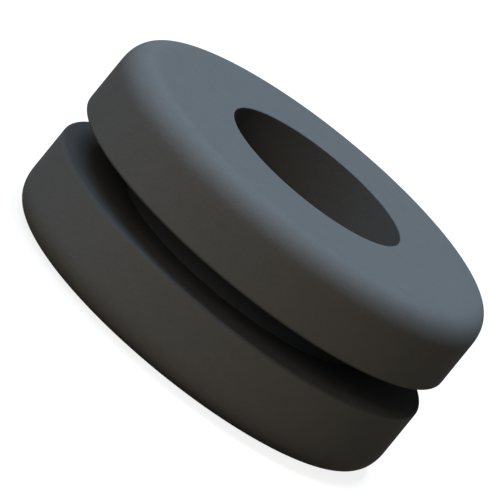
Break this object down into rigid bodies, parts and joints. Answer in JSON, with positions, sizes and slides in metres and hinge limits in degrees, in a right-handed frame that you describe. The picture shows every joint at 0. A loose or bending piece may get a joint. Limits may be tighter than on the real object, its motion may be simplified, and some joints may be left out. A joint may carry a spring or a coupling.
{
  "type": "rubber grommet",
  "caption": "Round moulded rubber cable grommet: thick rounded flanges, a narrow panel groove between them and a plain bore through the middle.",
  "frame": {"origin": "centre of the lower flat face, on the bore's axis", "axes": "+Z along the bore, up from the lower face to the upper face; X and Y lie across it, and the part is round about Z"},
  "size_m": [0.014, 0.014, 0.0065],
  "materials": {
    "rubber": "matt, smooth off the mould"
  },
  "bodies": {
    "root": {"grommet": "rubber"}
  },
  "joints": []
}
